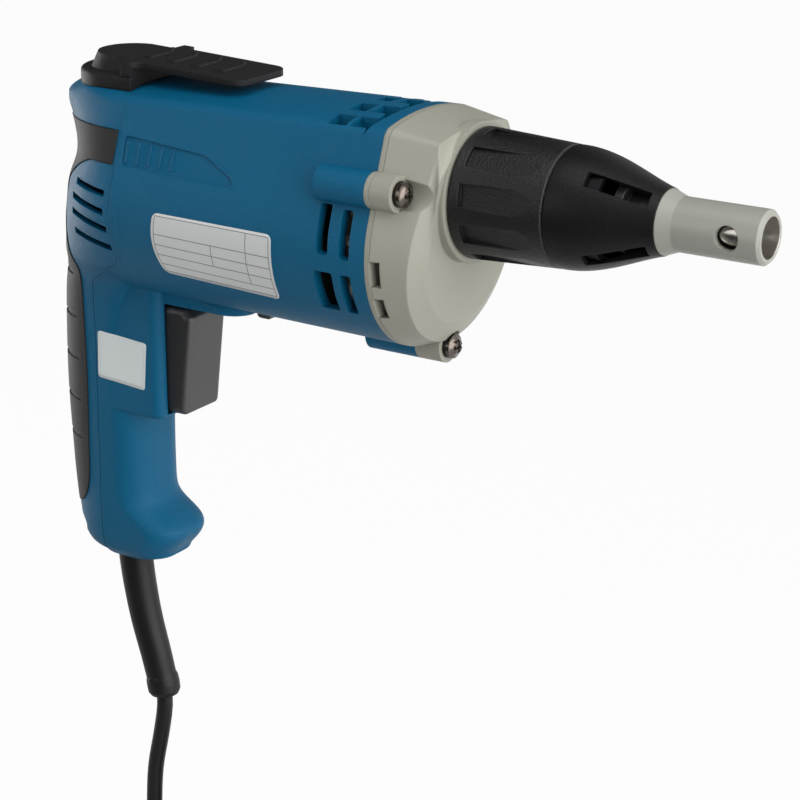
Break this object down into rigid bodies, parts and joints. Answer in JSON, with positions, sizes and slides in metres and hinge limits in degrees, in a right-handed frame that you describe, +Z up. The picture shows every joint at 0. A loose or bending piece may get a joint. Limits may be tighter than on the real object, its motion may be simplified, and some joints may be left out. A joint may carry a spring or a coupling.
{
  "type": "electric screwdriver",
  "caption": "Corded pistol-grip screwdriver for drywall: motor barrel, gear housing, depth-setting nose ring, trigger, reversing lever, belt hook and mains lead.",
  "frame": {"origin": "middle of the hand grip, in the tool's mid plane", "axes": "+X towards the nose, +Y towards the tool's left side, +Z up from the grip to the barrel"},
  "size_m": [0.2866, 0.0744, 0.4498],
  "materials": {
    "blue_plastic": "satin moulded",
    "black_rubber": "matt",
    "black_plastic": "satin moulded",
    "grey_casting": "satin painted",
    "plate_casting": "as cast",
    "nose_metal": "satin",
    "steel": "turned",
    "dark_steel": "blackened",
    "laminations": "stamped",
    "copper": "drawn",
    "brass": "stamped",
    "carbon": "pressed carbon",
    "pale_plastic": "moulded",
    "sintered_bronze": "sintered"
  },
  "bodies": {
    "tool": {"motor_housing": "blue_plastic", "rear_cover": "blue_plastic", "rear_grip": "black_rubber", "belt_hook": "black_plastic", "hook_screw": "steel", "switch_body": "black_plastic", "trigger_spring": "steel", "capacitor": "black_plastic", "bearing_plate": "plate_casting", "gear_housing": "grey_casting", "housing_screws": "steel", "screw_washers": "dark_steel", "cover_screws": "steel", "front_bearing": "steel", "rear_bearing": "steel", "bearing_boot": "black_rubber", "stator_core": "laminations", "stator_coils": "copper", "stator_screws": "steel", "fan_baffle": "black_plastic", "brush_holders": "brass", "carbon_brushes": "carbon", "brush_springs": "steel", "spindle_bush": "sintered_bronze", "tail_bush": "sintered_bronze", "cord_guard": "black_rubber", "cord_lead": "black_rubber", "cord_clamp": "black_plastic", "clamp_screws": "steel", "cord_coil": "black_rubber", "coil_tie": "black_plastic", "plug_body": "black_rubber", "plug_pins": "brass"},
    "armature": {"armature_shaft": "steel", "armature_core": "laminations", "armature_winding": "copper", "commutator": "copper", "cooling_fan": "pale_plastic"},
    "gear": {"drive_gear": "steel", "clutch_spring": "steel"},
    "thrust": {"thrust_washer": "steel"},
    "spindle": {"spindle": "steel", "bit_holder": "steel"},
    "carrier": {"locator_carrier": "black_plastic"},
    "ring": {"depth_ring": "black_plastic"},
    "locator": {"locator_sleeve": "black_plastic", "locator_nose": "nose_metal"},
    "trigger": {"trigger": "black_plastic"},
    "lock_button": {"lock_button": "black_plastic"},
    "reversing_lever": {"reversing_lever": "black_plastic"}
  },
  "joints": [
    {"name": "armature_spin", "type": "hinge", "parent": "tool", "child": "armature", "pos_m": [0.077, 0, 0.0748], "axis": [1, 0, 0], "continuous": true},
    {"name": "gear_spin", "type": "hinge", "parent": "tool", "child": "gear", "pos_m": [0.136, 0, 0.094], "axis": [1, 0, 0], "continuous": true},
    {"name": "spindle_push", "type": "slide", "parent": "tool", "child": "thrust", "axis": [1, 0, 0], "range_m": [-0.002, 0], "stiffness_N_per_m": 1500, "deforming": ["clutch_spring"]},
    {"name": "spindle_spin", "type": "hinge", "parent": "thrust", "child": "spindle", "pos_m": [0.17, 0, 0.094], "axis": [1, 0, 0], "continuous": true},
    {"name": "depth_slide", "type": "slide", "parent": "tool", "child": "carrier", "axis": [1, 0, 0], "range_m": [0, 0.005]},
    {"name": "ring_turn", "type": "hinge", "parent": "carrier", "child": "ring", "pos_m": [0.169, 0, 0.094], "axis": [1, 0, 0], "range_deg": [0, 900]},
    {"name": "locator_pull", "type": "slide", "parent": "carrier", "child": "locator", "axis": [1, 0, 0], "range_m": [0, 0.07]},
    {"name": "trigger_pull", "type": "slide", "parent": "tool", "child": "trigger", "axis": [-1, 0, 0], "range_m": [0, 0.006], "stiffness_N_per_m": 800, "springref_m": -0.002, "deforming": ["trigger_spring"]},
    {"name": "lock_press", "type": "slide", "parent": "tool", "child": "lock_button", "axis": [0, -1, 0], "range_m": [0, 0.0025], "stiffness_N_per_m": 600},
    {"name": "reverse_swing", "type": "hinge", "parent": "tool", "child": "reversing_lever", "pos_m": [0.049, 0, 0.0398], "axis": [0, 0, 1], "range_deg": [-12, 12]}
  ],
  "couplings": [
    {"joint": "gear_spin", "follows": "armature_spin", "ratio": -0.2},
    {"joint": "spindle_spin", "follows": "armature_spin", "ratio": -0.2},
    {"joint": "depth_slide", "follows": "ring_turn", "m_per_rad": 0.000318}
  ]
}
